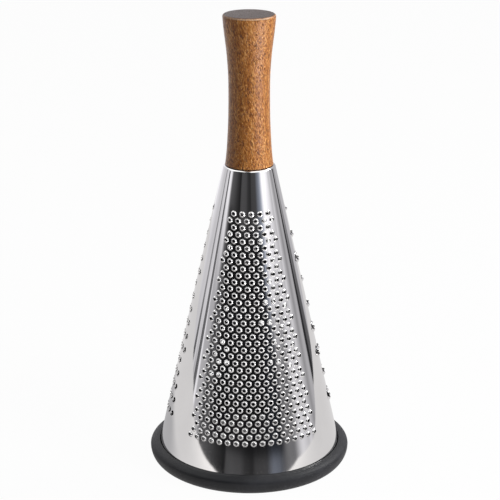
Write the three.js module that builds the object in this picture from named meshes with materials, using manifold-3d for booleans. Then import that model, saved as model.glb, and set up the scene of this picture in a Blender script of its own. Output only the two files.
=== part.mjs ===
// Cone grater: a rolled steel cone with three punched fields, a turned wooden handle and a rubber base ring.
// Millimetres, +Z up. The origin is the centre of the ring's underside, and -Y faces the fine field.

import * as THREE from 'three';
import Module from 'manifold-3d';
import { mergeVertices } from 'three/addons/utils/BufferGeometryUtils.js';

const wasm = await Module();
wasm.setup();

// Fits shared by the whole grater
const clearance = 0.3; // gap round each piece that sits inside another
const overrun = 1; // how far a cutting shape runs past what it cuts

// Cone: one blank of sheet, punched flat, rolled up, welded down the back and turned in at the top
const sheetThickness = 0.6;
const coneHeight = 165.5; // from the cut edge to the turned-in top
const coneBaseRadius = 51.4; // outside, at the cut edge
const coneTopRadius = 13.9; // outside, where the wall and the top would meet in a sharp corner
const shoulderRounding = 1.2; // outside radius of the bend
const topOpeningRadius = 8; // inner edge of the turned-in top

// Base ring: moulded rubber, pushed over the cone's cut edge
const ringHeight = 10.2;
const gripDepth = 6.6; // how deep the sheet stands in the ring's groove
const ringOuterWall = 4.45; // rubber outside the sheet at half height
const ringInnerWall = 4.6; // rubber inside the sheet at half height
const ringBellyHeight = 6.9; // where the outside is widest
const ringFootInset = 5.2; // from the widest place in to the flat underside
const ringInnerRounding = 2.4; // lip and foot, inside

// Handle: turned hardwood, waisted, flared at both ends
const handleLength = 80.9;
const handleFootRadius = 12.9;
const handleWaistRadius = 10.95;
const handleHeadRadius = 14;
const handleHeadRounding = 1.3;
const handleFootChamfer = 0.35;
const blindDepth = 17; // bore in the foot, for the insert and the end of the screw

// Insert: brass, flanged, screwed into the handle's bore
const insertLength = 12;
const insertRadius = 4;
const insertFlangeRadius = 5.6;
const insertFlangeThickness = 1.2;

// Cap plate, washers and screw that pull the handle down on the cone
const capThickness = 1.5;
const capEdgeChamfer = 0.3;
const washerRadius = 6;
const washerThickness = 1;
const springWasherRadius = 4.6;
const springWasherThickness = 1.3;
const springWasherSplit = 1.2;
const screwRadius = 2.5;
const screwLength = 20;
const screwHeadRadius = 4.75;
const screwHeadHeight = 3.3;
const screwTipChamfer = 0.6;
const recessReach = 2.6; // half the span of the cross recess
const recessSlot = 1.1;
const recessDepth = 1.8;

// Heights and slopes that follow
const edgeHeight = ringHeight - gripDepth;
const seatHeight = edgeHeight + coneHeight;
const wallSlope = (coneBaseRadius - coneTopRadius) / coneHeight;
const halfAngle = Math.atan(wallSlope);
const slopeSine = Math.sin(halfAngle);
const slopeCosine = Math.cos(halfAngle);
const apexHeight = seatHeight + coneTopRadius / wallSlope;

// The punched fields stand a third of a turn apart. Each starts some way under the turned-in top, has as many
// rows as fit above the ring, and each row as many teeth as fit beside its neighbours; rows are staggered.
const thirdTurn = (2 * Math.PI) / 3;
const fieldHalfTurn = 0.98; // of a field that had no side margin
const fieldSideMargin = 7.17;
const fieldFootMargin = 14.8; // from the ring's crown to the lowest row at the least
const fieldFoot = ringHeight + fieldFootMargin;

// Fine field: round burrs, pierced from inside
const fineTopMargin = 22.3;
const fineRowStep = 3.535;
const finePitch = 4.71;
const fineRimRadius = 0.8;
const fineBoreRadius = 1.25;
const fineBurrHeight = 0.9;
const fineRimCorners = 4;
const fineBoreCorners = 3;

// Medium field: small hooded scoops. The gape is how far the lip stands below the slot's ends, the reach
// how far the hood runs down the wall, the lift how far the lip stands out, the brow the slot's rise.
const mediumTopMargin = 23.2;
const mediumRowStep = 7.2;
const mediumPitch = 5.3;
const mediumScoop = { halfWidth: 2, brow: 0, gape: 1.3, reach: 2.9, lift: 1.1, corners: 1 };

// Coarse field: wide hooded scoops
const coarseTopMargin = 24.1;
const coarseRowStep = 13.5;
const coarsePitch = 11;
const coarseScoop = { halfWidth: 3.6, brow: 1.1, gape: 2.4, reach: 4.8, lift: 1.9, corners: 3 };

// Steps of the round shapes
const wallSteps = 54;
const topSteps = 27;
const landSteps = 7; // up the plain lands between the fields
const ringSteps = 48;
const handleSteps = 28;
const smallSteps = 16;
const sideSteps = 12; // along the handle's outer line
const roundingSteps = 3; // along a rounded corner
const innerRoundingSteps = 2; // along one that is small or hidden

const materials = {
  wood: new THREE.MeshStandardMaterial({ color: 0x9a5c34, roughness: 0.5, metalness: 0 }),
  polished: new THREE.MeshStandardMaterial({ color: 0xd4d4d6, roughness: 0.08, metalness: 1 }),
  satin: new THREE.MeshStandardMaterial({ color: 0xb4b6ba, roughness: 0.3, metalness: 1 }),
  brass: new THREE.MeshStandardMaterial({ color: 0xc9a24e, roughness: 0.3, metalness: 1 }),
  rubber: new THREE.MeshStandardMaterial({ color: 0x2f3133, roughness: 0.7, metalness: 0 }),
};

// Points on an oval, or on an arc, in a section plane of radius and height
function oval(centreRadius, centreHeight, halfWidth, halfHeight, from, to, steps) {
  const centre = new THREE.Vector2(centreRadius, centreHeight);
  return Array.from({ length: steps + 1 }, (_, i) => {
    const angle = from + ((to - from) * i) / steps;
    return new THREE.Vector2(halfWidth * Math.cos(angle), halfHeight * Math.sin(angle)).add(centre);
  });
}

function arc(centreRadius, centreHeight, radius, from, to, steps) {
  return oval(centreRadius, centreHeight, radius, radius, from, to, steps);
}

// A section outline turned about +Z; it runs up the outside and down the inside
function turned(outline, steps) {
  return new THREE.LatheGeometry(outline, steps).rotateX(Math.PI / 2);
}

function toSolid(geometry) {
  const bare = geometry.clone();
  bare.deleteAttribute('normal');
  bare.deleteAttribute('uv');
  const merged = mergeVertices(bare);
  const vertProperties = new Float32Array(merged.attributes.position.array);
  const triVerts = new Uint32Array(merged.index.array);
  return new wasm.Manifold(new wasm.Mesh({ numProp: 3, vertProperties, triVerts }));
}

function toGeometry(solid) {
  const mesh = solid.getMesh();
  const geometry = new THREE.BufferGeometry();
  geometry.setAttribute('position', new THREE.BufferAttribute(mesh.vertProperties, 3));
  geometry.setIndex(new THREE.BufferAttribute(mesh.triVerts, 1));
  geometry.computeVertexNormals();
  return geometry;
}

// Outside radius of the cone's wall at a height
function wallRadius(height) {
  return (apexHeight - height) * wallSlope;
}

// Distance from the apex down the wall, for a height on its outside
function slantAt(height) {
  return (apexHeight - height) / slopeCosine;
}

// A place on the rolled sheet: turn round the axis, distance down from the apex, lift off the outside face
function onWall(turn, slant, lift) {
  const radius = slant * slopeSine + lift * slopeCosine;
  const height = apexHeight - slant * slopeCosine + lift * slopeSine;
  return [radius * Math.sin(turn), -radius * Math.cos(turn), height];
}

// Flat chart of the wall that keeps small circles round. Its sides are bowed a little outward, so that the
// points along them stay corners of the hull, and points on one circle are told apart by a tiny shift.
const chartBow = 0.01;
const chartShift = 1e-8;
const shoulderSlant = (apexHeight - seatHeight + shoulderRounding * (1 - slopeSine)) / slopeCosine;
const edgeSlant = slantAt(edgeHeight);
const chartMiddle = Math.log(shoulderSlant * edgeSlant) / 2;
const chartHalf = Math.log(edgeSlant / shoulderSlant) / 2;

function onChart(turn, slant, index) {
  const acrossShare = turn / Math.PI;
  const upShare = (chartMiddle - Math.log(slant)) / chartHalf;
  const shift = chartShift * Math.sin(index * index);
  const x = turn * (1 + chartBow * (1 - upShare * upShare)) + shift;
  const y = (upShare * chartHalf * (1 + chartBow * (1 - acrossShare * acrossShare))) / slopeSine - shift;
  return { x, y };
}

// Circle through three chart points, kept with their indices
function circled(points, a, b, c) {
  const [p, q, r] = [points[a], points[b], points[c]];
  const [bx, by, cx, cy] = [q.x - p.x, q.y - p.y, r.x - p.x, r.y - p.y];
  const twist = 2 * (bx * cy - by * cx);
  const x = (cy * (bx * bx + by * by) - by * (cx * cx + cy * cy)) / twist;
  const y = (bx * (cx * cx + cy * cy) - cx * (bx * bx + by * by)) / twist;
  return { corners: twist > 0 ? [a, b, c] : [a, c, b], x: p.x + x, y: p.y + y, reach: x * x + y * y };
}

// Delaunay triangles of the chart points, each counter-clockwise
function triangulated(chartPoints) {
  const far = 100 * Math.PI;
  const corners = [{ x: -far, y: -far }, { x: far, y: -far }, { x: 0, y: far }];
  const points = [...chartPoints, ...corners];
  const count = chartPoints.length;
  let triangles = [circled(points, count, count + 1, count + 2)];
  chartPoints.forEach((point, index) => {
    const kept = [];
    const rim = new Map();
    for (const triangle of triangles) {
      const distance = (point.x - triangle.x) ** 2 + (point.y - triangle.y) ** 2;
      if (distance >= triangle.reach) {
        kept.push(triangle);
        continue;
      }
      triangle.corners.forEach((from, k) => {
        const to = triangle.corners[(k + 1) % 3];
        const twin = `${to},${from}`;
        if (!rim.delete(twin)) rim.set(`${from},${to}`, [from, to]);
      });
    }
    for (const [from, to] of rim.values()) kept.push(circled(points, from, to, index));
    triangles = kept;
  });
  return triangles.map((triangle) => triangle.corners).filter((three) => Math.max(...three) < count);
}

// The sheet is gathered in one list of corners and triangles, and closes on itself by sharing corners
const sheet = { corners: [], triangles: [] };

function addCorner(turn, slant, lift) {
  sheet.corners.push(onWall(turn, slant, lift));
  return sheet.corners.length - 1;
}

function addTriangle(a, b, c) {
  if (a !== b && b !== c && c !== a) sheet.triangles.push([a, b, c]);
}

// Band between two closed loops that run the same way round, counter-clockwise seen from the first one's side
function addBand(outer, inner) {
  let [i, j] = [0, 0];
  while (i < outer.length || j < inner.length) {
    const [here, deep] = [outer[i % outer.length], inner[j % inner.length]];
    if ((i + 1) * inner.length <= (j + 1) * outer.length) {
      addTriangle(here, outer[(i + 1) % outer.length], deep);
      i += 1;
    } else {
      addTriangle(here, inner[(j + 1) % inner.length], deep);
      j += 1;
    }
  }
}

// One face of the wall: its points, the twin of each point on the seam, and the loops left open in it
function newFace(lift) {
  return { lift, points: [], ids: [], gaps: [], known: new Map() };
}

function addPoint(face, turn, slant) {
  const key = `${turn.toFixed(6)},${slant.toFixed(4)}`;
  if (face.known.has(key)) return face.known.get(key);
  const id = addCorner(turn, slant, face.lift);
  addChartPoint(face, turn, slant, id);
  face.known.set(key, id);
  return id;
}

function addChartPoint(face, turn, slant, id) {
  face.points.push(onChart(turn, slant, face.points.length));
  face.ids.push(id);
}

// Points all the way round at one level; the seam's point stands at both ends of the chart
function addLevel(face, slant, steps) {
  const loop = [];
  for (let i = 0; i < steps; i += 1) loop.push(addPoint(face, -Math.PI + (2 * Math.PI * i) / steps, slant));
  addChartPoint(face, Math.PI, slant, loop[0]);
  return loop;
}

// Triangles of one face, without those that lie inside a gap
function closeFace(face, facesOut) {
  const gapsOf = new Map();
  face.gaps.forEach((gap, number) => {
    for (const id of gap) gapsOf.set(id, [...(gapsOf.get(id) ?? []), number]);
  });
  for (const three of triangulated(face.points)) {
    const [a, b, c] = three.map((index) => face.ids[index]);
    const holdsAll = (gap) => face.gaps[gap].includes(b) && face.gaps[gap].includes(c);
    if ((gapsOf.get(a) ?? []).some(holdsAll)) continue;
    if (facesOut) addTriangle(a, b, c);
    else addTriangle(a, c, b);
  }
}

// Places of one field, row by row down the wall. Its turn is that of its middle, from -Y towards +X.
function fieldSites(turn, topMargin, rowStep, pitch, topCountIsOdd) {
  const sites = [];
  const top = seatHeight - topMargin;
  const rows = Math.floor((top - fieldFoot) / rowStep) + 1;
  for (let row = 0; row < rows; row += 1) {
    const height = top - row * rowStep;
    const halfWidth = wallRadius(height) * fieldHalfTurn - fieldSideMargin;
    const odd = (row % 2 === 0) === topCountIsOdd;
    const pairs = odd ? Math.floor(halfWidth / pitch) : Math.floor(halfWidth / pitch + 1 / 2);
    const count = odd ? 2 * pairs + 1 : 2 * pairs;
    const slant = slantAt(height);
    for (let i = 0; i < count; i += 1) sites.push({ turn, slant, row, halves: 2 * i - (count - 1) });
  }
  return sites;
}

// Turn of a place that lies some way across from a field's middle line
function turnAcross(site, across, slant) {
  return site.turn + across / (slant * slopeSine);
}

// A ring of corners round a punched place, seen from outside it runs counter-clockwise
function addRing(site, centre, outline, place) {
  return outline.map(([across, up, lift]) => {
    const slant = site.slant - up;
    return place(turnAcross(site, centre + across, slant), slant, lift);
  });
}

function regular(radius, corners, lift) {
  return Array.from({ length: corners }, (_, i) => {
    const angle = (2 * Math.PI * i) / corners;
    return [radius * Math.cos(angle), radius * Math.sin(angle), lift];
  });
}

// Fine burrs: each rises from the four low points between it and its neighbours to a pierced rim
function punchFine(outside, inside) {
  const rowSlant = fineRowStep / slopeCosine;
  const half = finePitch / 2;
  const placeLow = (turn, slant) => addPoint(outside, turn, slant);
  const placeBore = (turn, slant) => addPoint(inside, turn, slant);
  for (const site of fieldSites(0, fineTopMargin, fineRowStep, finePitch, true)) {
    const centre = site.halves * half;
    const low = [[half, 0], [0, rowSlant], [-half, 0], [0, -rowSlant]];
    const foot = addRing(site, centre, low, placeLow);
    outside.gaps.push(foot);
    const rim = addRing(site, centre, regular(fineRimRadius, fineRimCorners, fineBurrHeight), addCorner);
    const bore = addRing(site, centre, regular(fineBoreRadius, fineBoreCorners, 0), placeBore);
    inside.gaps.push(bore);
    addBand(foot, rim);
    addBand(rim, bore);
  }
}

// Half a ring below a slot, from its left end to its right end, without the ends
function bowl(halfWidth, depth, lift, corners) {
  return Array.from({ length: corners }, (_, i) => {
    const angle = (Math.PI * (i + 1)) / (corners + 1);
    return [-halfWidth * Math.cos(angle), -depth * Math.sin(angle), lift * Math.sin(angle)];
  });
}

// Scoops: the sheet is slit, and the metal below the slit is pushed out into a hood with a sharp upper lip
function punchScoops(outside, inside, sites, pitch, scoop) {
  const { halfWidth, brow, gape, reach, lift, corners } = scoop;
  const placeOutside = (turn, slant) => addPoint(outside, turn, slant);
  const placeInside = (turn, slant) => addPoint(inside, turn, slant);
  const slot = [[halfWidth, 0, 0], ...(brow ? [[0, brow, 0]] : []), [-halfWidth, 0, 0]];
  const hollow = bowl(halfWidth, reach - sheetThickness, 0, corners);
  for (const site of sites) {
    const centre = (site.halves * pitch) / 2;
    const upper = addRing(site, centre, slot, placeOutside);
    const foot = addRing(site, centre, bowl(halfWidth, reach, 0, corners), placeOutside);
    const lip = addRing(site, centre, bowl(halfWidth, gape, lift, corners), addCorner);
    const under = addRing(site, centre, [...slot, ...hollow], placeInside);
    outside.gaps.push([...upper, ...foot]);
    inside.gaps.push(under);
    addBand([...upper, ...foot], [...upper, ...lip]);
    addBand([...upper, ...lip], under);
  }
}

// Bend and turned-in top, from the outside of the wall round to its inside
function turnIn(outerLoop, innerLoop) {
  const bendRadius = shoulderSlant * slopeSine - shoulderRounding * slopeCosine;
  const bendHeight = seatHeight - shoulderRounding;
  const bend = (radius, steps) => arc(bendRadius, bendHeight, radius, halfAngle, Math.PI / 2, steps);
  const section = [
    ...bend(shoulderRounding, innerRoundingSteps).slice(1),
    new THREE.Vector2(topOpeningRadius, seatHeight),
    new THREE.Vector2(topOpeningRadius, seatHeight - sheetThickness),
    ...bend(shoulderRounding - sheetThickness, 1).slice(1).reverse(),
  ];
  const loops = section.map((point) => Array.from({ length: topSteps }, (_, i) => {
    const turn = -Math.PI + (2 * Math.PI * i) / topSteps;
    sheet.corners.push([point.x * Math.sin(turn), -point.x * Math.cos(turn), point.y]);
    return sheet.corners.length - 1;
  }));
  const all = [outerLoop, ...loops, innerLoop];
  for (let i = 1; i < all.length; i += 1) addBand(all[i - 1], all[i]);
}

// Plain points that keep the wall round where nothing is punched: above, below and between the fields
function addPlainPoints(face) {
  const leastTopMargin = Math.min(fineTopMargin, mediumTopMargin, coarseTopMargin);
  const fieldTop = seatHeight - leastTopMargin;
  addLevel(face, slantAt(fieldFoot - fieldFootMargin / 2), wallSteps);
  addLevel(face, slantAt(fieldTop + leastTopMargin / 2), topSteps);
  for (let i = 0; i < landSteps; i += 1) {
    const slant = slantAt(fieldFoot + ((fieldTop - fieldFoot) * i) / landSteps);
    const seam = addPoint(face, -Math.PI, slant);
    addChartPoint(face, Math.PI, slant, seam);
    addPoint(face, thirdTurn / 2, slant);
    addPoint(face, -thirdTurn / 2, slant);
  }
}

function graterCone() {
  const outside = newFace(0);
  const inside = newFace(-sheetThickness);
  const edges = [outside, inside].map((face) => addLevel(face, edgeSlant, wallSteps));
  const tops = [outside, inside].map((face) => addLevel(face, shoulderSlant, topSteps));
  addPlainPoints(outside);
  addPlainPoints(inside);
  punchFine(outside, inside);
  const mediumSites = fieldSites(-thirdTurn, mediumTopMargin, mediumRowStep, mediumPitch, true);
  const coarseSites = fieldSites(thirdTurn, coarseTopMargin, coarseRowStep, coarsePitch, false);
  punchScoops(outside, inside, mediumSites, mediumPitch, mediumScoop);
  punchScoops(outside, inside, coarseSites, coarsePitch, coarseScoop);
  closeFace(outside, true);
  closeFace(inside, false);
  turnIn(tops[0], tops[1]);
  addBand(edges[1], edges[0]);
  const geometry = new THREE.BufferGeometry();
  geometry.setAttribute('position', new THREE.Float32BufferAttribute(sheet.corners.flat(), 3));
  geometry.setIndex(sheet.triangles.flat());
  geometry.computeVertexNormals();
  return geometry;
}

function baseRing() {
  const middle = ringHeight / 2;
  const outer = wallRadius(middle) + ringOuterWall;
  const inner = wallRadius(middle) - sheetThickness / slopeCosine - ringInnerWall;
  const grooveFloor = edgeHeight - sheetThickness * slopeSine - clearance;
  const outsideGap = clearance / slopeCosine;
  const insideGap = (sheetThickness + clearance) / slopeCosine;
  const quarter = Math.PI / 2;
  const half = Math.PI;
  const belly = ringBellyHeight;
  const [foot, crown] = [outer - ringFootInset, wallRadius(ringHeight) + outsideGap];
  const [inside, lip] = [inner + ringInnerRounding, ringHeight - ringInnerRounding];
  const outline = [
    ...oval(foot, belly, ringFootInset, belly, -quarter, 0, roundingSteps),
    ...oval(crown, belly, outer - crown, ringHeight - belly, 0, quarter, roundingSteps).slice(1),
    new THREE.Vector2(wallRadius(grooveFloor) + outsideGap, grooveFloor),
    new THREE.Vector2(wallRadius(grooveFloor) - insideGap, grooveFloor),
    new THREE.Vector2(wallRadius(ringHeight) - insideGap, ringHeight),
    ...arc(inside, lip, ringInnerRounding, quarter, half, innerRoundingSteps),
    ...arc(inside, ringInnerRounding, ringInnerRounding, half, half + quarter, innerRoundingSteps),
  ];
  return turned([...outline, outline[0]], ringSteps);
}

// Outer line of the handle: shares of its length against shares of the flare at the foot or the head
const footFlareShares = [[0, 1], [0.1, 0.56], [0.22, 0.26], [0.34, 0.07]];
const headFlareShares = [[0.52, 0.01], [0.64, 0.1], [0.76, 0.35], [0.88, 0.74], [0.97, 0.98]];

function handle() {
  const footFlare = handleFootRadius - handleWaistRadius;
  const headFlare = handleHeadRadius - handleWaistRadius;
  const along = (share) => seatHeight + handleLength * share;
  const side = new THREE.SplineCurve([
    ...footFlareShares.map(([up, out]) => new THREE.Vector2(handleWaistRadius + footFlare * out, along(up))),
    ...headFlareShares.map(([up, out]) => new THREE.Vector2(handleWaistRadius + headFlare * out, along(up))),
  ]).getPoints(sideSteps);
  const head = seatHeight + handleLength;
  const boreRadius = insertRadius + clearance;
  const counterboreRadius = insertFlangeRadius + clearance;
  const counterboreTop = seatHeight + insertFlangeThickness + 2 * clearance;
  const rounding = handleHeadRounding;
  return turned([
    new THREE.Vector2(0, seatHeight + blindDepth),
    new THREE.Vector2(boreRadius, seatHeight + blindDepth),
    new THREE.Vector2(boreRadius, counterboreTop),
    new THREE.Vector2(counterboreRadius, counterboreTop),
    new THREE.Vector2(counterboreRadius, seatHeight),
    new THREE.Vector2(handleFootRadius - handleFootChamfer, seatHeight),
    new THREE.Vector2(handleFootRadius, seatHeight + handleFootChamfer),
    ...side.slice(1, -1),
    ...arc(handleHeadRadius - rounding, head - rounding, rounding, 0, Math.PI / 2, roundingSteps),
    new THREE.Vector2(0, head),
  ], handleSteps);
}

function threadedInsert() {
  const foot = seatHeight + clearance;
  const shoulder = foot + insertFlangeThickness;
  const boreRadius = screwRadius + clearance;
  const outline = [
    new THREE.Vector2(boreRadius, foot),
    new THREE.Vector2(insertFlangeRadius, foot),
    new THREE.Vector2(insertFlangeRadius, shoulder),
    new THREE.Vector2(insertRadius, shoulder),
    new THREE.Vector2(insertRadius, foot + insertLength),
    new THREE.Vector2(boreRadius, foot + insertLength),
  ];
  return turned([...outline, outline[0]], smallSteps);
}

// The stack under the cone's top, from above down
const capTop = seatHeight - sheetThickness;
const washerTop = capTop - capThickness;
const springWasherTop = washerTop - washerThickness;
const screwSeat = springWasherTop - springWasherThickness;

function disc(holeRadius, radius, low, high, chamfer) {
  const outline = [
    new THREE.Vector2(holeRadius, low),
    new THREE.Vector2(radius - chamfer, low),
    new THREE.Vector2(radius, low + chamfer),
    new THREE.Vector2(radius, high),
    new THREE.Vector2(holeRadius, high),
  ];
  return turned([...outline, outline[0]], smallSteps);
}

function capPlate() {
  const bendRadius = shoulderSlant * slopeSine - shoulderRounding * slopeCosine;
  return disc(screwRadius + clearance, bendRadius - clearance, washerTop, capTop, capEdgeChamfer);
}

function flatWasher() {
  return disc(screwRadius + clearance, washerRadius, springWasherTop, washerTop, capEdgeChamfer);
}

function springWasher() {
  const hole = screwRadius + clearance;
  const outerGap = Math.asin(springWasherSplit / 2 / springWasherRadius);
  const innerGap = Math.asin(springWasherSplit / 2 / hole);
  const shape = new THREE.Shape();
  shape.absarc(0, 0, springWasherRadius, outerGap, 2 * Math.PI - outerGap, false);
  shape.absarc(0, 0, hole, 2 * Math.PI - innerGap, innerGap, true);
  const depth = springWasherThickness;
  return new THREE.ExtrudeGeometry(shape, { depth, bevelEnabled: false, curveSegments: smallSteps })
    .translate(0, 0, screwSeat);
}

function handleScrew() {
  const headFoot = screwSeat - screwHeadHeight;
  const tip = screwSeat + screwLength;
  const domeRadius = screwHeadHeight / 2;
  const domeStart = screwHeadRadius - domeRadius;
  const body = turned([
    new THREE.Vector2(0, headFoot),
    new THREE.Vector2(domeStart, headFoot),
    ...arc(domeStart, screwSeat - domeRadius, domeRadius, -Math.PI / 2, 0, roundingSteps).slice(1),
    new THREE.Vector2(screwHeadRadius, screwSeat),
    new THREE.Vector2(screwRadius, screwSeat),
    new THREE.Vector2(screwRadius, tip - screwTipChamfer),
    new THREE.Vector2(screwRadius - screwTipChamfer, tip),
    new THREE.Vector2(0, tip),
  ], smallSteps);
  const slotDepth = recessDepth + overrun;
  const slot = () => new THREE.BoxGeometry(2 * recessReach, recessSlot, slotDepth);
  const low = headFoot - overrun + slotDepth / 2;
  const recess = toSolid(slot().translate(0, 0, low))
    .add(toSolid(slot().rotateZ(Math.PI / 2).translate(0, 0, low)));
  return toGeometry(toSolid(body).subtract(recess));
}

function piece(name, geometry, material) {
  const mesh = new THREE.Mesh(geometry, material);
  mesh.name = name;
  return mesh;
}

const grater = new THREE.Group();
grater.name = 'cone_grater';
grater.add(
  piece('base_ring', baseRing(), materials.rubber),
  piece('grater_cone', graterCone(), materials.polished),
  piece('cap_plate', capPlate(), materials.satin),
  piece('flat_washer', flatWasher(), materials.satin),
  piece('spring_washer', springWasher(), materials.satin),
  piece('handle_screw', handleScrew(), materials.satin),
  piece('threaded_insert', threadedInsert(), materials.brass),
  piece('handle', handle(), materials.wood),
);

export default grater;
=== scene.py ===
"""A conical grater: polished steel cone with three punched fields, turned wooden handle, rubber base ring."""

import math

import bmesh
import bpy
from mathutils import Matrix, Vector


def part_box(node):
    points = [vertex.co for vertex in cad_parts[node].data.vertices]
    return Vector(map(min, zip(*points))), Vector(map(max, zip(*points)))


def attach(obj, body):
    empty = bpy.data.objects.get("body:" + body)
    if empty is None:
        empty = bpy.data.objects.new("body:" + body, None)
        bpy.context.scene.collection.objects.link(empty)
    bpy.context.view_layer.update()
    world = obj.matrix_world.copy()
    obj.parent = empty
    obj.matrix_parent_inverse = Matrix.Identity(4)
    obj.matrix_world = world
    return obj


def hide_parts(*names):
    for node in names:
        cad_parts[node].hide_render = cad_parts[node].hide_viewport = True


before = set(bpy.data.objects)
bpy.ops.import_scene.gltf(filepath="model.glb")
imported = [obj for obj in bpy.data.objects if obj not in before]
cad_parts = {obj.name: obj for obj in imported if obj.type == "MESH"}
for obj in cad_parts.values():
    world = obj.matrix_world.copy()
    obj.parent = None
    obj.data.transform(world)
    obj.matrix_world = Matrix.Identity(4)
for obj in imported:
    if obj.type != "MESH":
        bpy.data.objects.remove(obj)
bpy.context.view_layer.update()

# Camera. It stands a little to the left of the fine field's middle, looks down on the grater through a long
# lens, and its place and lens come from the outlines of the grater in the 500 by 500 photograph.
camera_distance = 0.8472
camera_height = 0.4091
camera_azimuth = math.radians(-3)
camera_pitch = math.radians(18.8)
focal_pixels = 1647.1
image_pixels = 500
axis_offset_pixels = 0.8

camera_data = bpy.data.cameras.new("camera")
camera_data.sensor_width = 36
camera_data.lens = camera_data.sensor_width * focal_pixels / image_pixels
camera_data.clip_end = 20
camera = bpy.data.objects.new("camera", camera_data)
bpy.context.scene.collection.objects.link(camera)
camera.location = (
    camera_distance * math.sin(camera_azimuth),
    -camera_distance * math.cos(camera_azimuth),
    camera_height,
)
yaw = camera_azimuth - axis_offset_pixels / focal_pixels
camera.rotation_euler = (math.pi / 2 - camera_pitch, 0, yaw)
bpy.context.scene.camera = camera
bpy.context.scene.view_settings.view_transform = "Standard"

# Base ring. Moulded charcoal rubber, round outside, with a groove in its crown that grips the cone's cut
# edge. It is turned here from its section, as the mould for it is, and its skin is matt with faint dust.
ring_low, ring_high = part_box("base_ring")
cone_low, cone_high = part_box("grater_cone")
gauge = 0.0006  # of the cone's sheet
fit = 0.0003  # gap round each piece that sits in another
hair = 1e-7  # closer than this, two corners are one
cone_rise = 0.1655
shoulder_radius = 0.0139
edge_height = cone_high.z - cone_rise
wall_slope = (-cone_low.y - shoulder_radius) / cone_rise
half_angle = math.atan(wall_slope)
slope_sine, slope_cosine = math.sin(half_angle), math.cos(half_angle)
apex = cone_high.z + shoulder_radius / wall_slope


def wall_radius(height):
    """Outside radius of the cone's wall at a height."""
    return (apex - height) * wall_slope


def oval(centre, half_width, half_height, start, end, steps):
    """Points on an oval in a section plane of radius and height, from one angle in degrees to another."""
    angles = [math.radians(start + (end - start) * i / steps) for i in range(steps + 1)]
    return [(centre[0] + half_width * math.cos(a), centre[1] + half_height * math.sin(a)) for a in angles]


def arc(centre, radius, start, end, steps):
    """Points on a round arc in a section plane."""
    return oval(centre, radius, radius, start, end, steps)


def finished(name, bm, sharp_degrees=40):
    """The object made from a bmesh, smooth but for edges sharper than an angle."""
    for face in bm.faces:
        face.smooth = True
    for edge in bm.edges:
        if edge.is_manifold and edge.calc_face_angle(0) > math.radians(sharp_degrees):
            edge.smooth = False
    mesh = bpy.data.meshes.new(name)
    bm.to_mesh(mesh)
    bm.free()
    obj = bpy.data.objects.new(name, mesh)
    bpy.context.scene.collection.objects.link(obj)
    return obj


def turned(name, outline, steps, closed=True):
    """A piece turned from its section about the upright axis."""
    bm = bmesh.new()
    points = [bm.verts.new((radius, 0, height)) for radius, height in outline]
    pairs = list(zip(points, points[1:]))
    if closed:
        pairs.append((points[-1], points[0]))
    edges = [bm.edges.new(pair) for pair in pairs]
    bmesh.ops.spin(
        bm,
        geom=points + edges,
        cent=(0, 0, 0),
        axis=(0, 0, 1),
        angle=2 * math.pi,
        steps=steps,
        use_merge=True,
    )
    bmesh.ops.remove_doubles(bm, verts=bm.verts, dist=hair)
    bmesh.ops.recalc_face_normals(bm, faces=bm.faces)
    return finished(name, bm)


class Wire:
    """A socket of a node tree, whose arithmetic adds Math nodes."""

    def __init__(self, nodes, socket):
        self.nodes = nodes
        self.socket = socket

    def __add__(self, other):
        return self.nodes.maths("ADD", self, other)

    __radd__ = __add__

    def __sub__(self, other):
        return self.nodes.maths("SUBTRACT", self, other)

    def __rsub__(self, other):
        return self.nodes.maths("SUBTRACT", other, self)

    def __mul__(self, other):
        return self.nodes.maths("MULTIPLY", self, other)

    __rmul__ = __mul__

    def __truediv__(self, other):
        return self.nodes.maths("DIVIDE", self, other)

    def __abs__(self):
        return self.nodes.maths("ABSOLUTE", self)

    def between(self, low, high):
        """0 below one value, 1 above another, smooth between."""
        sockets = {0: self, 1: low, 2: high, 3: 0.0, 4: 1.0}
        return self.nodes.add("MapRange", {"interpolation_type": "SMOOTHSTEP"}, sockets)


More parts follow.
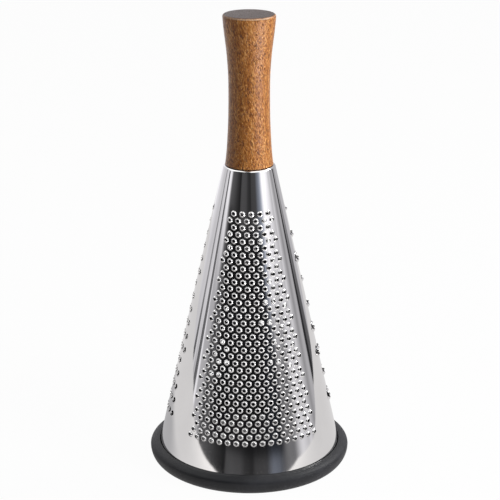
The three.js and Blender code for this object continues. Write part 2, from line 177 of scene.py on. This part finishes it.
class Nodes:
    """A node tree, with one method that adds any node."""

    def __init__(self, tree):
        self.tree = tree

    def add(self, kind, settings=None, sockets=None, output=0):
        """Adds a node of a kind: its settings come first, then the values or wires of its sockets."""
        node = self.tree.nodes.new("ShaderNode" + kind)
        for key, value in (settings or {}).items():
            if key == "stops":
                ramp = node.color_ramp.elements
                while len(ramp) < len(value):
                    ramp.new(0.5)
                for element, (place, colour) in zip(ramp, value):
                    element.position = place
                    element.color = (*colour, 1)
            else:
                setattr(node, key, value)
        for key, value in (sockets or {}).items():
            self.feed(node.inputs[key], value)
        return Wire(self, node.outputs[output])

    def feed(self, socket, value):
        """Gives a socket a wire, a colour or a number."""
        if isinstance(value, Wire):
            self.tree.links.new(value.socket, socket)
        elif isinstance(value, tuple) and len(value) == 3 and len(socket.default_value) == 4:
            socket.default_value = (*value, 1)
        else:
            socket.default_value = value

    def maths(self, operation, *values):
        """A Math node on wires and numbers."""
        return self.add("Math", {"operation": operation}, dict(enumerate(values)))

    def noise(self, grain, detail=2.0, roughness=0.5, lean=0.0):
        """Noise on the piece's own coordinates, from the size of its grain across and along the upright."""
        place = self.add("TexCoord", output=3)
        sockets = {"Vector": place, "Scale": (grain[0], grain[0], grain[-1]), "Rotation": (0, lean, 0)}
        place = self.add("Mapping", {"vector_type": "TEXTURE"}, sockets)
        sockets = {"Vector": place, "Scale": 1.0, "Detail": detail, "Roughness": roughness}
        return self.add("TexNoise", {}, sockets)

    def blend(self, factor, first, second, way="MIX"):
        """A colour between two others, by a factor."""
        settings = {"data_type": "RGBA", "blend_type": way}
        return self.add("Mix", settings, {0: factor, 6: first, 7: second}, output=2)

    def parts(self, vector):
        """The three numbers of a vector."""
        node = self.tree.nodes.new("ShaderNodeSeparateXYZ")
        self.feed(node.inputs[0], vector)
        return [Wire(self, socket) for socket in node.outputs]


class Finish(Nodes):
    """A material on one Principled shader."""

    def __init__(self, name, **constants):
        self.material = bpy.data.materials.new(name)
        self.material.use_nodes = True
        super().__init__(self.material.node_tree)
        self.shader = self.tree.nodes["Principled BSDF"]
        self.surface(**constants)

    def surface(self, **values):
        """Feeds sockets of the shader, each by its name in small letters."""
        for name, value in values.items():
            self.feed(self.shader.inputs[name.replace("_", " ").title().replace("Ior", "IOR")], value)

    def bump(self, height, distance, strength=1.0):
        """Raises the surface's look by a height."""
        sockets = {"Height": height, "Distance": distance, "Strength": strength}
        self.surface(normal=self.add("Bump", {}, sockets))

    def put_on(self, *objects):
        """Gives this finish to objects, in place of any other."""
        for obj in objects:
            obj.data.materials.clear()
            obj.data.materials.append(self.material)


rubber = Finish("charcoal_rubber", specular_ior_level=0.3)
dust = rubber.noise([0.017], 5, 0.65)
grain = rubber.noise([0.00045], 3, 0.6)
rubber.surface(
    base_color=rubber.blend(dust.between(0.4, 0.75), (0.013, 0.0135, 0.0155), (0.022, 0.0225, 0.026)),
    roughness=0.38 + dust * 0.2,
)
rubber.bump(grain, 0.00008, 0.6)

ring_middle = (ring_low.z + ring_high.z) / 2
inner_wall = 0.0046  # rubber inside the sheet at half height
ring_inner = wall_radius(ring_middle) - gauge / slope_cosine - inner_wall
belly, foot_inset, inner_rounding = 0.0069, 0.0052, 0.0024
groove_floor = edge_height - gauge * slope_sine - fit
outer_gap, inner_gap = fit / slope_cosine, (gauge + fit) / slope_cosine
lip = 0.00015
crown = wall_radius(ring_high.z) + outer_gap + lip
ring_outline = [
    *oval((ring_high.x - foot_inset, belly), foot_inset, belly, -90, 0, 12),
    *oval((crown, belly), ring_high.x - crown, ring_high.z - belly, 0, 90, 10)[1:],
    (wall_radius(ring_high.z - lip) + outer_gap, ring_high.z - lip),
    (wall_radius(groove_floor) + outer_gap, groove_floor),
    (wall_radius(groove_floor) - inner_gap, groove_floor),
    (wall_radius(ring_high.z - lip) - inner_gap, ring_high.z - lip),
    (wall_radius(ring_high.z) - inner_gap - lip, ring_high.z),
    *arc((ring_inner + inner_rounding, ring_high.z - inner_rounding), inner_rounding, 90, 180, 6),
    *arc((ring_inner + inner_rounding, inner_rounding), inner_rounding, 180, 270, 6),
]
ring = turned("rubber_base_ring", ring_outline, 180)
rubber.put_on(ring)
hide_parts("base_ring")
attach(ring, "root")

# Grater cone. One blank of polished stainless sheet, punched flat in three fields, then rolled into a cone,
# butt welded and dressed down the back, and turned in at the top. Its cut edge stands in the ring's groove.
blank_radius = 0.04  # width of the flat blank for each radian that it is rolled
bend_radius = 0.0012  # outside, where the wall turns in
flange_edge = 0.008  # radius of the opening in the turned-in top
speck = 1e-6  # closer than this, two places in the sheet are one
edge_slant = (apex - edge_height) / slope_cosine
bend_slant = (apex - cone_high.z + bend_radius * (1 - slope_sine)) / slope_cosine
bend_length = bend_radius * (math.pi / 2 - half_angle)
bend_centre = (bend_slant * slope_sine - bend_radius * slope_cosine, cone_high.z - bend_radius)
flange_slant = bend_slant - bend_length - (bend_centre[0] - flange_edge)
OUTER, INNER, CUT = 1, 2, 0  # the sheet's kinds of face


def on_section(slant, lift):
    """Radius and height of a place in the rolled sheet, and the way its outside faces there."""
    past = bend_slant - slant
    if past <= 0:
        facing = (slope_cosine, slope_sine)
        place = (slant * slope_sine, apex - slant * slope_cosine)
    elif past < bend_length:
        angle = half_angle + past / bend_radius
        facing = (math.cos(angle), math.sin(angle))
        place = (bend_centre[0] + bend_radius * facing[0], bend_centre[1] + bend_radius * facing[1])
    else:
        facing = (0.0, 1.0)
        place = (bend_centre[0] - (past - bend_length), cone_high.z)
    return place[0] + lift * facing[0], place[1] + lift * facing[1], facing


def cell(name, pitch, step, count, rings, skins):
    """One hexagonal cell of a punched field, drawn ring by ring from its border, through the opening in its
    middle, to the same border on the sheet's inside."""
    peak = step / 2 + pitch**2 / (8 * step)
    corners = [(pitch / 2, peak - step), (pitch / 2, step - peak), (0, peak)]
    corners += [(-across, -up) for across, up in corners]
    corners = [Vector((across, up, 0)) for across, up in corners]
    border = []
    for i in range(count):
        side, share = divmod(i * 6 / count + 0.5, 1)
        border.append(corners[int(side) % 6].lerp(corners[int(side + 1) % 6], share))
    under = Vector((0, 0, -gauge))
    stack = [border, *rings, [point + under for point in border]]
    bm = bmesh.new()
    number = bm.verts.layers.int.new("number")
    skin = bm.faces.layers.int.new("skin")
    loop = bmesh.ops.create_circle(bm, segments=count, radius=pitch)["verts"]
    for i, corner in enumerate(loop):
        corner[number] = i
        corner.co = border[i]
    edges = list(bm.edges)
    for ring_points, side in zip(stack[1:], skins):
        grown = bmesh.ops.extrude_edge_only(bm, edges=edges)["geom"]
        loop = {g for g in grown if isinstance(g, bmesh.types.BMVert)}
        edges = [g for g in grown if isinstance(g, bmesh.types.BMEdge) and set(g.verts) <= loop]
        for corner in loop:
            corner.co = ring_points[corner[number]]
        for edge in edges:
            edge.link_faces[0][skin] = side
    bm.normal_update()
    plain = next(face for face in bm.faces if all(abs(corner.co.z) < speck for corner in face.verts))
    if plain.normal.z < 0:
        bmesh.ops.reverse_faces(bm, faces=bm.faces)
    mesh = bpy.data.meshes.new(name)
    bm.to_mesh(mesh)
    bm.free()
    return mesh


def burr(count, profile):
    """Rings of a round burr from its foot over its rim and down its bore, from radii and lifts."""
    angles = [2 * math.pi * i / count for i in range(count)]
    return [[Vector((r * math.cos(a), r * math.sin(a), lift)) for a in angles] for r, lift in profile]


def scoop(count, half_width, brow, gape, reach, lift):
    """Rings of a hooded scoop: above its slot they run close along the edge, below it they drape the hood."""
    soft = half_width / 10
    # Each ring's width as a share, its rise above the slot, its drop below it, and the hood's height there
    profile = [
        (1.10, soft, reach, 0.0),
        (1.03, soft * 0.6, gape + (reach - gape) * 0.62, lift * 0.52),
        (1.0, soft * 0.3, gape + (reach - gape) * 0.24, lift * 0.93),
        (0.98, 0, gape, lift),
        (0.92, 0, gape + gauge * 0.1, lift - gauge * 0.8),
        (0.94, soft * 0.6, gape + (reach - gape) * 0.5, lift * 0.55 - gauge),
        (0.98, soft, reach - gauge * 0.6, -gauge),
    ]
    rings = []
    for number, (width, rise, drop, height) in enumerate(profile):
        ring_points = []
        level = 0.0 if number < 4 else -gauge
        for i in range(count):
            across, up = math.cos(2 * math.pi * i / count), math.sin(2 * math.pi * i / count)
            if up > -speck:
                ring_points.append(Vector((half_width * width * across, (brow + rise) * up, level)))
            else:
                share = min(1.0, -up * 1.15)
                place = Vector((half_width * width * across, drop * up, level + (height - level) * share))
                ring_points.append(place)
        rings.append(ring_points)
    return rings


third = 2 * math.pi / 3
foot_margin = 0.0137  # plain wall between the ring and the lowest row
field_foot = ring_high.z + foot_margin
field_share, side_margin = 0.98, 0.00717  # half a field's width: a share of the wall's radius, less a margin


def punch(bm, mesh, middle, top_margin, row_step, pitch, odd):
    """Punches one field: rows down the wall, each with as many cells as fit beside its neighbours."""
    top = cone_high.z - top_margin
    for row in range(int((top - field_foot) / row_step) + 1):
        height = top - row * row_step
        half_width = wall_radius(height) * field_share - side_margin
        whole = (row % 2 == 0) == odd
        count = 2 * int(half_width / pitch) + 1 if whole else 2 * int(half_width / pitch + 0.5)
        slant = (apex - height) / slope_cosine
        for i in range(count):
            across = (i - (count - 1) / 2) * pitch
            known = len(bm.verts)
            bm.from_mesh(mesh)
            bm.verts.ensure_lookup_table()
            for corner in bm.verts[known:]:
                down = slant - corner.co.y
                turn = middle + (across + corner.co.x) / (down * slope_sine)
                corner.co = (turn * blank_radius, -down, corner.co.z)


# Of each field: the pitch along a row, the step between rows, the plain wall above, and a cell's corners
fine_pitch, fine_step, fine_margin, fine_corners = 0.00471, 0.003535, 0.0223, 12
fine_profile = [
    (0.00164, 0.0),
    (0.00157, 0.00012),
    (0.00143, 0.00036),
    (0.00121, 0.00060),
    (0.00101, 0.00075),
    (0.00094, 0.00077),
    (0.00086, 0.00068),
    (0.00088, 0.00055),
    (0.00110, 0.00008),
    (0.00152, -gauge),
]
fine_skins = [OUTER] * 6 + [CUT] * 2 + [INNER] * 3
fine_rings = burr(fine_corners, fine_profile)
fine_cell = cell("fine_cell", fine_pitch, fine_step / slope_cosine, fine_corners, fine_rings, fine_skins)
scoop_skins = [OUTER] * 4 + [CUT] + [INNER] * 3
medium_pitch, medium_step, medium_margin, medium_corners = 0.0053, 0.0072, 0.0232, 12
medium_cell = cell(
    "medium_cell",
    medium_pitch,
    medium_step / slope_cosine,
    medium_corners,
    scoop(medium_corners, half_width=0.0019, brow=0.0018, gape=0.0013, reach=0.0023, lift=0.0005),
    scoop_skins,
)
coarse_pitch, coarse_step, coarse_margin, coarse_corners = 0.011, 0.0135, 0.0241, 24
coarse_cell = cell(
    "coarse_cell",
    coarse_pitch,
    coarse_step / slope_cosine,
    coarse_corners,
    scoop(coarse_corners, half_width=0.0038, brow=0.0032, gape=0.0020, reach=0.0043, lift=0.0013),
    scoop_skins,
)

bm = bmesh.new()
skin = bm.faces.layers.int.new("skin")
punch(bm, fine_cell, 0, fine_margin, fine_step, fine_pitch, True)
fine_faces = set(bm.faces)
punch(bm, medium_cell, -third, medium_margin, medium_step, medium_pitch, True)
punch(bm, coarse_cell, third, coarse_margin, coarse_step, coarse_pitch, False)
bmesh.ops.remove_doubles(bm, verts=bm.verts, dist=2 * speck)

half_blank = math.pi * blank_radius
rim = [edge for edge in bm.edges if edge.is_boundary]
for level, side in ((0.0, OUTER), (-gauge, INNER)):
    sides = [(-1, -edge_slant), (1, -edge_slant), (1, -bend_slant), (-1, -bend_slant)]
    corners = [bm.verts.new((way * half_blank, height, level)) for way, height in sides]
    outline = [bm.edges.new((corners[i], corners[(i + 1) % 4])) for i in range(4)]
    outline += [edge for edge in rim if all(abs(v.co.z - level) < speck for v in edge.verts)]
    filled = bmesh.ops.triangle_fill(bm, edges=outline, use_beauty=True, normal=(0, 0, 1))["geom"]
    plain = [g for g in filled if isinstance(g, bmesh.types.BMFace)]
    bm.normal_update()
    turned_over = [face for face in plain if (face.normal.z > 0) != (side == OUTER)]
    bmesh.ops.reverse_faces(bm, faces=turned_over)
    for face in plain:
        face[skin] = side

bm.faces.ensure_lookup_table()
bent = [face for face in bm.faces if face.is_valid and face not in fine_faces]
bent += list({edge for face in bent for edge in face.edges})
bends = 108  # strips that the plain wall is rolled in
for i in range(1, bends):
    place = (-half_blank + 2 * half_blank * i / bends, 0, 0)
    bent = bmesh.ops.bisect_plane(bm, geom=bent, dist=hair, plane_co=place, plane_no=(1, 0, 0))["geom"]


def border_edges(slant, level):
    """Open edges of the blank that run across it at one slant and level."""
    def near(corner):
        return abs(corner.co.y + slant) < speck and abs(corner.co.z - level) < speck
    return [edge for edge in bm.edges if edge.is_boundary and all(near(v) for v in edge.verts)]


def draw_out(edges, slants, level, side):
    """Runs open edges on to further slants, or to another level, as the sheet's next strips."""
    for slant in slants:
        grown = bmesh.ops.extrude_edge_only(bm, edges=edges)["geom"]
        moved = {g for g in grown if isinstance(g, bmesh.types.BMVert)}
        edges = [g for g in grown if isinstance(g, bmesh.types.BMEdge) and set(g.verts) <= moved]
        for corner in moved:
            corner.co.y = -slant
            corner.co.z = level
        for edge in edges:
            edge.link_faces[0][skin] = side
    return edges


bend_strips = 6
bend_slants = [bend_slant - bend_length * i / bend_strips for i in range(1, bend_strips + 1)] + [flange_slant]
flange = draw_out(border_edges(bend_slant, 0.0), bend_slants, 0.0, OUTER)
draw_out(border_edges(bend_slant, -gauge), bend_slants, -gauge, INNER)
draw_out(flange, [flange_slant], -gauge, CUT)
draw_out(border_edges(edge_slant, 0.0), [edge_slant], -gauge, CUT)
bmesh.ops.remove_doubles(bm, verts=bm.verts, dist=speck)

level_of = bm.verts.layers.int.new("level")
slant_of = bm.verts.layers.float.new("slant")
for corner in bm.verts:
    turn, slant, lift = corner.co.x / blank_radius, -corner.co.y, corner.co.z
    corner[level_of] = OUTER if abs(lift) < speck else INNER if abs(lift + gauge) < speck else CUT
    corner[slant_of] = slant
    radius, height, facing = on_section(slant, lift)
    corner.co = (radius * math.sin(turn), -radius * math.cos(turn), height)
bmesh.ops.remove_doubles(bm, verts=bm.verts, dist=speck)
for edge in bm.edges:
    edge.smooth = len({face[skin] for face in edge.link_faces}) < 2
for face in bm.faces:
    face.smooth = True

facings = []
for face in bm.faces:
    for loop in face.loops:
        corner = loop.vert
        if face[skin] == CUT or corner[level_of] != face[skin]:
            facings.append((0, 0, 0))
            continue
        across, up = on_section(corner[slant_of], 0)[2]
        turn = math.atan2(corner.co.x, -corner.co.y)
        facing = Vector((across * math.sin(turn), -across * math.cos(turn), up))
        facings.append(facing if face[skin] == OUTER else -facing)

for face in bm.faces:
    face.material_index = 0 if face[skin] == OUTER else 1
cone_mesh = bpy.data.meshes.new("polished_cone")
bm.to_mesh(cone_mesh)
bm.free()
cone_mesh.normals_split_custom_set(facings)
for name in ("number", "skin", "level", "slant"):
    if name in cone_mesh.attributes:
        cone_mesh.attributes.remove(cone_mesh.attributes[name])
cone = bpy.data.objects.new("polished_cone", cone_mesh)
bpy.context.scene.collection.objects.link(cone)

steel = Finish("polished_stainless", metallic=1.0)
x, y, z = steel.parts(steel.add("TexCoord", output=3))
turn = steel.maths("ARCTAN2", x, 0 - y)
rolled = steel.add("CombineXYZ", {}, {0: turn * 40, 1: z * 30})
streaks = steel.add("TexNoise", {}, {"Vector": rolled, "Scale": 1.0, "Detail": 3.0, "Roughness": 0.6})
clouds = steel.noise([0.022], 3, 0.6)
seam = abs(turn).between(math.pi - 0.03, math.pi - 0.01)
steel.surface(
    base_color=steel.blend(clouds.between(0.3, 0.8), (0.83, 0.825, 0.82), (0.79, 0.785, 0.78)),
    roughness=0.02 + streaks * 0.03 + clouds * 0.02 + seam * 0.15,
)
steel.bump(streaks, 0.00001, 0.25)
steel.put_on(cone)
# The sheet's inside and its cut edges: duller than the outside, and with a base colour far darker than steel,
# as painted shade, so that the inside seen through the holes stays dark.
inside = Finish("dull_shaded_inside", metallic=1.0)
rub_marks = inside.noise([0.004, 0.0007], 3, 0.6)
inside.surface(
    base_color=inside.blend(rub_marks, (0.12, 0.12, 0.123), (0.20, 0.20, 0.204)),
    roughness=0.30 + rub_marks * 0.2,
)
cone.data.materials.append(inside.material)
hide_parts("grater_cone")
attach(cone, "root")

# Cap plate, washers and screw. Satin stainless pieces stacked under the cone's turned-in top. The screw goes
# up through them into the handle's insert and draws the handle down.
satin = Finish("satin_stainless", metallic=1.0)
lathe_marks = satin.noise([0.0011], 2, 0.5)
satin.surface(
    base_color=satin.blend(lathe_marks, (0.60, 0.60, 0.61), (0.50, 0.50, 0.51)),
    roughness=0.24 + lathe_marks * 0.14,
)
for node in ("cap_plate", "flat_washer", "spring_washer", "handle_screw"):
    satin.put_on(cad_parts[node])

# Threaded insert. Turned brass with a flange at its foot, screwed into the handle's bore before the handle is
# fitted, so that the steel screw has metal to pull on.
brass = Finish("turned_brass", metallic=1.0)
tarnish = brass.noise([0.0025], 3, 0.6)
brass.surface(
    base_color=brass.blend(tarnish, (0.72, 0.50, 0.20), (0.55, 0.36, 0.14)),
    roughness=0.22 + tarnish * 0.2,
)
brass.put_on(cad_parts["threaded_insert"])

# Handle. Turned from a reddish-brown open-pored hardwood with the grain along it, waisted for the grip, flat
# on top where the end grain shows darker, and oiled.
handle_low, handle_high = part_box("handle")
handle_length = handle_high.z - handle_low.z
waist, foot_radius, head_radius = 0.01095, 0.0129, handle_high.x
head_rounding, foot_chamfer = 0.0013, 0.00035
insert_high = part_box("threaded_insert")[1]
blind_depth, insert_radius, flange_thickness = 0.017, 0.004, 0.0012
blind_top = handle_low.z + blind_depth
bore = insert_radius + fit
counterbore = insert_high.x + fit
counterbore_top = handle_low.z + flange_thickness + 2 * fit
# Up the handle as a share of its length, and how much of the foot's and of the head's flare is left there
flare = [(0, 1, 0), (0.1, 0.56, 0), (0.22, 0.26, 0), (0.34, 0.07, 0)]
flare += [(0.52, 0, 0.01), (0.64, 0, 0.1), (0.76, 0, 0.35), (0.88, 0, 0.74), (0.97, 0, 0.98)]
knots = [
    (waist + foot * (foot_radius - waist) + head * (head_radius - waist), handle_low.z + up * handle_length)
    for up, foot, head in flare
]


def through(points, steps):
    """A smooth line through points, in so many steps from each to the next."""
    line = []
    for i in range(len(points) - 1):
        p0, p1, p2, p3 = (points[min(max(i + k, 0), len(points) - 1)] for k in (-1, 0, 1, 2))
        for k in range(steps):
            t = k / steps
            line.append(tuple(
                b + 0.5 * t * (c - a + t * (2 * a - 5 * b + 4 * c - d + t * (3 * (b - c) + d - a)))
                for a, b, c, d in zip(p0, p1, p2, p3)
            ))
    return line + [points[-1]]


handle_outline = [
    (0, blind_top),
    (bore, blind_top),
    (bore, counterbore_top),
    (counterbore, counterbore_top),
    (counterbore, handle_low.z),
    (foot_radius - foot_chamfer, handle_low.z),
    (foot_radius, handle_low.z + foot_chamfer),
    *through(knots, 5)[2:-1],
    *arc((head_radius - head_rounding, handle_high.z - head_rounding), head_rounding, 0, 90, 6),
    (0, handle_high.z),
]
handle = turned("wooden_handle", handle_outline, 128, closed=False)

wood = Finish("oiled_hardwood", specular_ior_level=0.55)
bands = wood.noise([0.004, 0.09], 3, 0.55, lean=0.03)
figure = wood.noise([0.0016, 0.009], 3, 0.6, lean=-0.12)
fleck = wood.noise([0.0006, 0.0016], 2, 0.6, lean=-0.16)
pore_noise = wood.noise([0.0007, 0.0020], 2, 0.5, lean=-0.16)
pores = pore_noise.between(0.57, 0.65)
body = wood.add("ValToRGB", {"stops": [
    (0.38, (0.175, 0.052, 0.010)),
    (0.46, (0.325, 0.112, 0.022)),
    (0.53, (0.455, 0.178, 0.040)),
    (0.64, (0.720, 0.380, 0.135)),
]}, {0: bands * 0.22 + figure * 0.2 + fleck * 0.58})
body = wood.blend(pores * 0.72, body, (0.075, 0.026, 0.008))
height = wood.parts(wood.add("TexCoord", output=3))[2]
upward = wood.parts(wood.add("NewGeometry", output=1))[2]  # 1 on the flat top, 0 on the sides
# Painted shadow: a thin dark line round the foot of the handle, where it sits on the steel.
foot_shadow_line = 1 - height.between(handle_low.z + 0.0003, handle_low.z + 0.0007)
body = wood.blend(foot_shadow_line * 0.85, body, (0.02, 0.01, 0.006))
speckle = wood.noise([0.0006], 2, 0.6)
patches = wood.noise([0.018], 2, 0.5)
end_colour = wood.blend(speckle * 0.7 + patches * 0.7 - 0.2, (0.018, 0.008, 0.005), (0.100, 0.058, 0.040))
# A lighter, patchy band round the rounded top rim: partly wear, and partly a painted highlight where the edge
# catches the light.
worn_and_highlit_rim = upward.between(0.1, 0.4) * (1 - upward.between(0.6, 0.85)) * patches.between(0.3, 0.7)
body = wood.blend(worn_and_highlit_rim * 0.7, body, (0.80, 0.62, 0.45))
wood.surface(
    base_color=wood.blend(upward.between(0.75, 0.97), body, end_colour),
    roughness=0.26 + fleck * 0.16 + pores * 0.2,
)
wood.bump(fleck - pores * 0.6, 0.00022, 0.7)
wood.put_on(handle)
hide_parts("handle")
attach(handle, "root")

# Studio. A white table under soft lamps. Only the mirror of the steel sees the rest: a trimmed sheet of
# paper on a dark table, tall screens with dark frames round the room, a dark card and a dark doorway in
# front, a low light beside them, and a pale ceiling.
bm = bmesh.new()
bmesh.ops.create_circle(bm, cap_ends=True, segments=96, radius=6.0)
floor = finished("table_top", bm)

table_material = bpy.data.materials.new("white_table")
table_material.use_nodes = True
table = Nodes(table_material.node_tree)
table.tree.nodes.remove(table.tree.nodes["Principled BSDF"])
x, y, _ = table.parts(table.add("TexCoord", output=3))


def within(place, low, high, soft):
    """1 between two values and 0 outside them, with soft ends."""
    return place.between(low - soft, low + soft) * (1 - place.between(high - soft, high + soft))


# The sheet of paper: its right edge steps out on a slant, and both its near corners are cut off
right_edge = table.maths("MINIMUM", table.maths("MAXIMUM", y * 0.9 + 0.23, 0.203), 0.303)
paper = (x - right_edge).between(0.01, -0.01) * within(y, -0.217, 0.62, 0.012) * x.between(-0.53, -0.51)
left_corner = (y + x * 0.826).between(-0.405, -0.375)
right_corner = (y - x * 0.49).between(-0.26, -0.23)
paper = paper * left_corner * right_corner
paper_colour = table.blend(y.between(-0.2, 0.0), (1.10, 1.07, 1.06), (0.747, 0.733, 0.736))
behind = table.maths("POWER", (x + 0.06) * (x + 0.06) + (y - 0.06) * (y - 0.06), 0.5)
shadow = 1 - behind.between(0.05, 0.10)
paper_colour = table.blend(shadow * 0.45, paper_colour, (0.16, 0.165, 0.19))
ring_hole = (0.0465, 0.0485)
under_cone = 1 - (x * x + y * y).between(ring_hole[0] ** 2, ring_hole[1] ** 2)
seen = table.maths("MAXIMUM", table.add("LightPath"), table.add("LightPath", output=6)) * (1 - under_cone)
mirrored = table.add("LightPath", output=3)
shaded = table.add("BsdfDiffuse", {}, {"Color": (0.8, 0.8, 0.8)})
white = table.add("Emission", {}, {"Color": (1.0, 1.0, 1.0)})
# The mirror sees the paper, and inside the ring, under the cone, painted shade that is near black.
mirrored_paper_and_shade = table.add("Emission", {}, {"Color": table.blend(under_cone, paper_colour, (0.01, 0.01, 0.012))})
clear = table.add("BsdfTransparent")
reflected = table.add("MixShader", {}, {0: paper, 1: clear, 2: mirrored_paper_and_shade})
surface = table.add("MixShader", {}, {0: seen * 0.97, 1: shaded, 2: white})
surface = table.add("MixShader", {}, {0: mirrored, 1: surface, 2: reflected})
surface = table.add("MixShader", {}, {0: table.add("NewGeometry", output=6), 1: surface, 2: clear})
table.feed(table.tree.nodes["Material Output"].inputs[0], surface)
floor.data.materials.append(table_material)

# Tall screens round the room: degrees round from the near side, and the brightness there
screens = [
    (-180, 1.00), (-162, 1.10), (-149, 0.85), (-137, 0.80), (-124, 0.66),
    (-101, 0.74), (-88, 1.10), (-79, 1.00), (-76, 0.50), (-72, 0.12), (-55, 0.07), (-46, 0.040),
    (-35, 0.018), (-32, 0.075), (-26, 0.085), (-14, 0.075), (-8, 0.042), (1, 0.028), (5, 0.06), (20, 0.07),
    (26, 0.18), (32, 0.27), (38, 0.48), (44, 1.05), (50, 1.40), (72, 1.25), (82, 0.95), (90, 0.58),
    (98, 0.33), (106, 0.50), (118, 0.36), (130, 0.55),
]
world = bpy.data.worlds.new("studio")
bpy.context.scene.world = world
world.use_nodes = True
air = Nodes(world.node_tree)
x, y, z = air.parts(air.add("TexCoord", output=0))
azimuth = air.maths("ARCTAN2", x, 0 - y) * (180 / math.pi)
stops = [((around + 180) / 360, (tone, tone * 0.985, tone * 1.03)) for around, tone in screens]
tones = air.add("ValToRGB", {"stops": stops}, {0: azimuth / 360 + 0.5})
gloom = (0.02, 0.02, 0.022)
low_down = 1 - z.between(-0.02, 0.06)
left_side = azimuth.between(-92, -88) * (1 - azimuth.between(-70, -66))
front_right = azimuth.between(24, 40) * (1 - azimuth.between(56, 72))
tones = air.blend(low_down * (left_side * 0.55 + front_right * 0.8), tones, gloom)
screen_foot = within(azimuth, 40, 84, 3) * (1 - z.between(0.03, 0.11))
tones = air.blend(screen_foot * 0.38, tones, gloom)
deep_down = 1 - z.between(-0.16, -0.06)
# Frames between the screens: degrees round, how far each leans with height, half its width, and its depth
dark_frames = [
    (-110, 0, 3.2, 0.6 + deep_down * 0.38),
    (-100, 20, 2.0, deep_down * 0.6),
    (-93, 38, 3.6, 0.86),
    (-36, 0, 3.0, 0.3),
    (114.5, 0, 4.0, 0.95),
    (121, 0, 10.0, deep_down * 0.75),
]
for middle, lean, half_width, depth in dark_frames:
    frame_bar = 1 - abs(azimuth - z * lean - middle).between(half_width * 0.6, half_width)
    tones = air.blend(frame_bar * depth, tones, gloom)
soft_box = within(azimuth, 48, 82, 5) * within(z, 0.20, 0.37, 0.03)
tones = air.blend(soft_box, tones, (4.5, 4.5, 4.5))
bowed = z + (azimuth + 6) * (azimuth + 6) * 0.000014
dark_card = within(azimuth + z.between(0.02, 0.08) * 10, -60, 43, 5) * within(bowed, -0.007, 0.128, 0.004)
dark_room = within(azimuth, -50, -4, 5) * (1 - within(z, -0.06, 0.168, 0.008))
tones = air.blend(air.maths("MAXIMUM", dark_card, dark_room) * 0.95, tones, (0.008, 0.008, 0.009))
low_glow = within(azimuth, 34, 72, 8) * (1 - z.between(-0.20, -0.14))
tones = air.blend(low_glow, tones, (6.0, 5.9, 5.7))
overhead = (z - within(azimuth, -70, 0, 8) * 0.2).between(0.45, 0.65)
between_lamps = (1 - abs(x + 0.08).between(0.10, 0.18)) * z.between(0.75, 0.85)
window_light = within(azimuth, 22, 40, 6)
tones = air.blend(window_light, tones, (0.88, 0.97, 1.12), "MULTIPLY")
ceiling = air.blend(between_lamps, (1.45, 1.45, 1.45), (0.08, 0.08, 0.08))
mirror = air.blend(overhead, tones, ceiling)
seen = air.maths("MAXIMUM", air.add("LightPath"), air.add("LightPath", output=6))
colour = air.blend(seen, (0.10, 0.10, 0.10), (1.0, 1.0, 1.0))
colour = air.blend(air.add("LightPath", output=3), colour, mirror)
air.feed(air.tree.nodes["Background"].inputs[0], colour)


grater_middle = Vector((0, 0, 0.12))


def soft_lamp(name, power, size, azimuth, elevation, distance, mirrored):
    """A square area lamp that faces the grater's middle."""
    data = bpy.data.lights.new(name, "AREA")
    data.energy = power
    data.size = size
    lamp = bpy.data.objects.new(name, data)
    bpy.context.scene.collection.objects.link(lamp)
    a, e = math.radians(azimuth), math.radians(elevation)
    away = Vector((math.sin(a) * math.cos(e), -math.cos(a) * math.cos(e), math.sin(e)))
    lamp.location = away * distance + grater_middle
    lamp.rotation_euler = away.to_track_quat("Z", "Y").to_euler()
    lamp.visible_glossy = mirrored


soft_lamp("key_lamp", 20, 0.6, 55, 22, 1.4, False)
soft_lamp("left_lamp", 1.0, 0.5, -100, 15, 1.4, False)
soft_lamp("top_lamp", 9, 0.4, 112, 42, 1.6, True)
